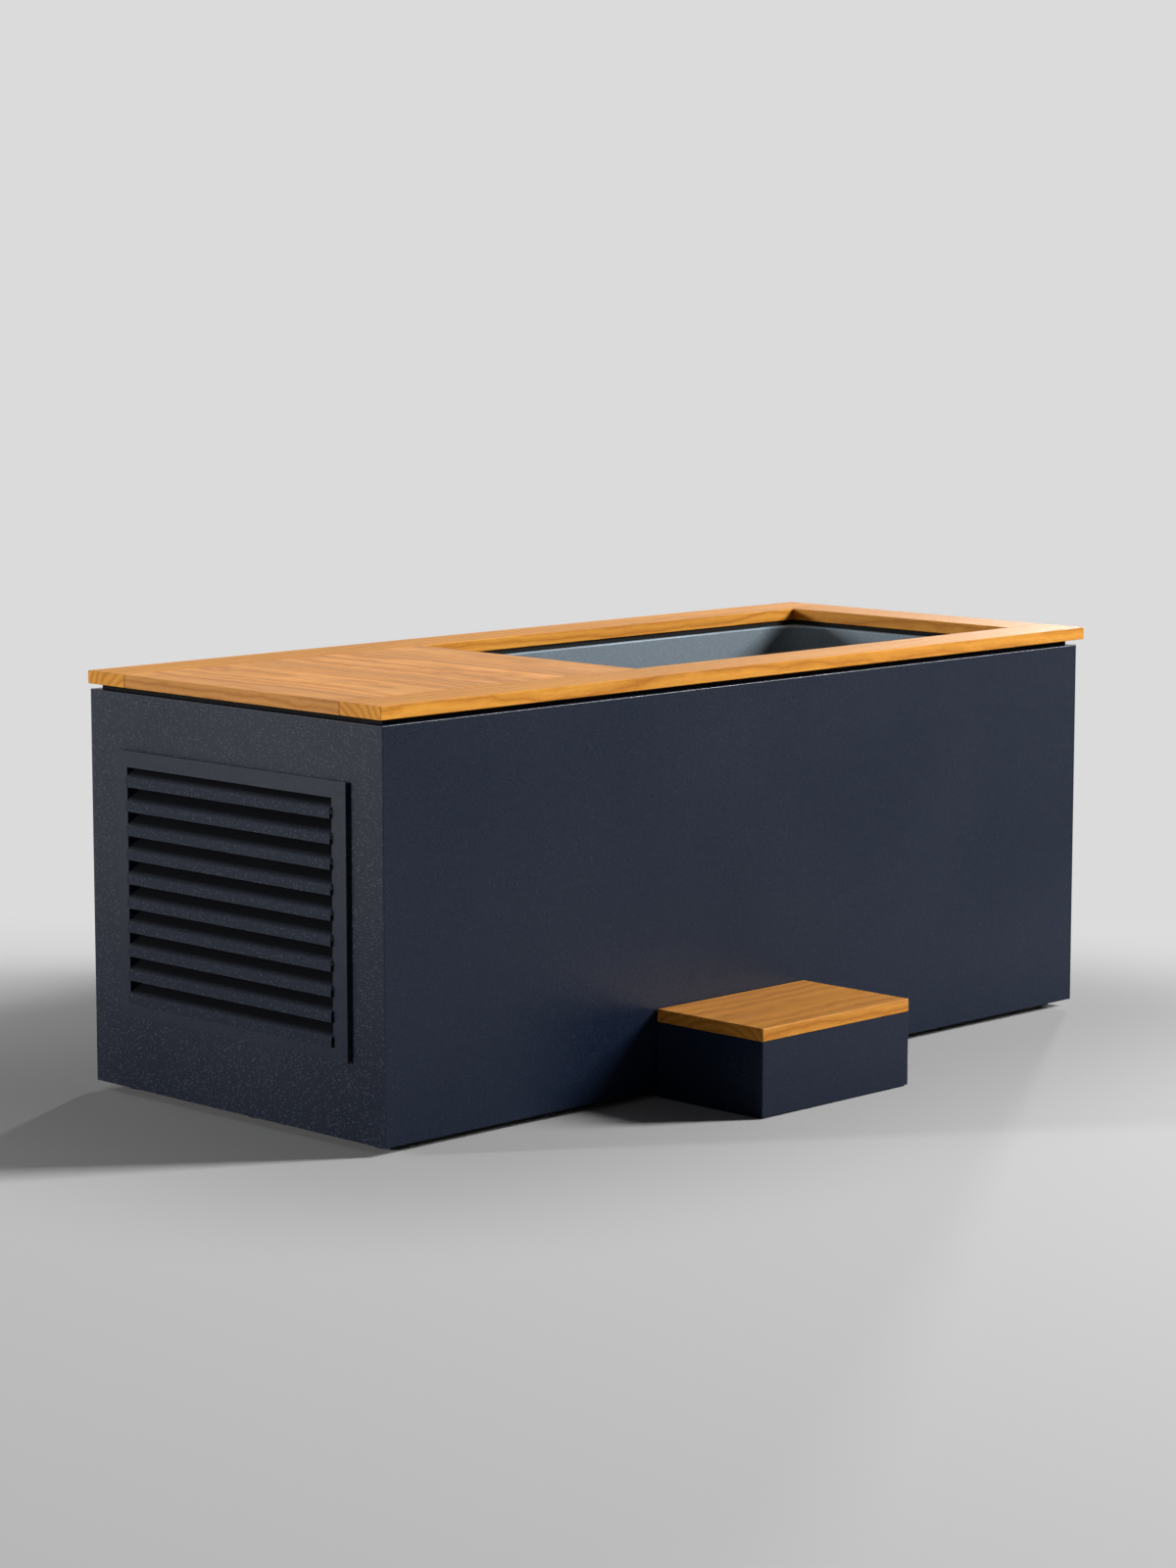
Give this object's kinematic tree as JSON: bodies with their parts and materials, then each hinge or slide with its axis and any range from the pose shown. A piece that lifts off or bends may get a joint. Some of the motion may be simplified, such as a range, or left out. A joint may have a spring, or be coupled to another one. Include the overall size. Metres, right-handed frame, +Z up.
{
  "type": "cold plunge tub",
  "caption": "Cold plunge tub: steel cabinet with timber deck and hatch, louvred gear bay, insulated steel tub, chiller gear inside and a timber-topped step.",
  "frame": {"origin": "middle of the cabinet's plan, on the floor", "axes": "+X towards the tub end, +Y towards the back, +Z up; the step stands on the -Y side"},
  "size_m": [2.01, 1.118, 0.81],
  "materials": {
    "navy_powder": "satin",
    "navy_louvre": "satin",
    "frame_paint": "satin",
    "galvanised": "satin",
    "black_board": "matte",
    "cedar": "satin",
    "tub_steel": "satin",
    "rubber": "matte",
    "foam": "matte",
    "white_pvc": "gloss",
    "grey_fitting": "satin",
    "black_plastic": "satin",
    "clear_lid": "gloss",
    "filter_paper": "matte",
    "copper": "satin",
    "valve_brass": "satin",
    "lever_red": "gloss",
    "cast_case": "satin",
    "black_enamel": "gloss",
    "coil_aluminium": "satin",
    "box_grey": "satin",
    "button_green": "gloss",
    "zinc_screw": "satin",
    "magnet_nickel": "polished",
    "rotor_steel": "satin"
  },
  "bodies": {
    "cabinet": {"rubber_pads": "rubber", "plinth_frame": "frame_paint", "floor_pan": "galvanised", "base_frame": "frame_paint", "uprights": "frame_paint", "top_frame": "frame_paint", "front_panel": "navy_powder", "back_panel": "navy_powder", "louvre_end_panel": "navy_powder", "tub_end_panel": "navy_powder", "panel_screws": "zinc_screw", "bulkhead": "galvanised", "deck_spacer": "black_board", "front_rail": "cedar", "back_rail": "cedar", "tub_end_board": "cedar", "deck_screws": "zinc_screw", "louvre_gasket": "rubber", "louvre_magnets": "magnet_nickel", "tub_shell": "tub_steel", "tub_insulation": "foam", "suction_fitting": "grey_fitting", "return_jet": "grey_fitting", "drain_fitting": "grey_fitting", "fitting_nuts": "grey_fitting", "suction_pipe": "white_pvc", "pump_body": "black_plastic", "pump_motor": "cast_case", "uv_steriliser": "tub_steel", "filter_pipes": "white_pvc", "filter_housing": "clear_lid", "heat_exchanger": "black_plastic", "return_pipe": "white_pvc", "drain_pipe": "white_pvc", "drain_valve_body": "valve_brass", "drain_outlet": "valve_brass", "equipment_tray": "galvanised", "condenser_coil": "coil_aluminium", "fan_shroud": "galvanised", "fan_motor": "black_enamel", "compressor": "black_enamel", "compressor_feet": "rubber", "refrigerant_lines": "copper", "control_box": "box_grey", "control_box_lid": "box_grey", "mains_gland": "black_plastic"},
    "hatch": {"service_hatch": "cedar", "hatch_battens": "cedar"},
    "louvre_grille": {"louvre_frame": "navy_louvre", "louvre_blades": "navy_louvre"},
    "step": {"step_box": "navy_powder", "step_tread": "cedar", "step_pads": "rubber"},
    "fan": {"fan_rotor": "black_plastic"},
    "pump": {"pump_rotor": "rotor_steel"},
    "filter_top": {"filter_lid": "black_plastic", "filter_cartridge": "filter_paper"},
    "valve_lever": {"drain_lever": "lever_red"},
    "hose_cap": {"drain_cap": "black_plastic"},
    "button": {"power_button": "button_green"}
  },
  "joints": [
    {"name": "hatch_lift", "type": "slide", "parent": "cabinet", "child": "hatch", "axis": [0, 0, 1], "range_m": [0, 0.15]},
    {"name": "grille_pull", "type": "slide", "parent": "cabinet", "child": "louvre_grille", "axis": [-1, 0, 0], "range_m": [0, 0.06]},
    {"name": "step_slide", "type": "slide", "parent": "cabinet", "child": "step", "axis": [0, -1, 0], "range_m": [0, 0.3]},
    {"name": "fan_spin", "type": "hinge", "parent": "cabinet", "child": "fan", "pos_m": [-0.8735, 0.0035, 0.39], "axis": [1, 0, 0], "continuous": true},
    {"name": "pump_spin", "type": "hinge", "parent": "cabinet", "child": "pump", "pos_m": [-0.4505, -0.162, 0.179], "axis": [1, 0, 0], "continuous": true},
    {"name": "filter_lift", "type": "slide", "parent": "cabinet", "child": "filter_top", "axis": [0, 0, 1], "range_m": [0, 0.12]},
    {"name": "drain_lever_turn", "type": "hinge", "parent": "cabinet", "child": "valve_lever", "pos_m": [-0.3185, 0.344, 0.169], "axis": [0, 0, 1], "range_deg": [-90, 0]},
    {"name": "drain_cap_pull", "type": "slide", "parent": "cabinet", "child": "hose_cap", "axis": [0, 1, 0], "range_m": [0, 0.03]},
    {"name": "power_button_press", "type": "slide", "parent": "cabinet", "child": "button", "axis": [0, 0, -1], "range_m": [0, 0.003], "stiffness_N_per_m": 400}
  ]
}
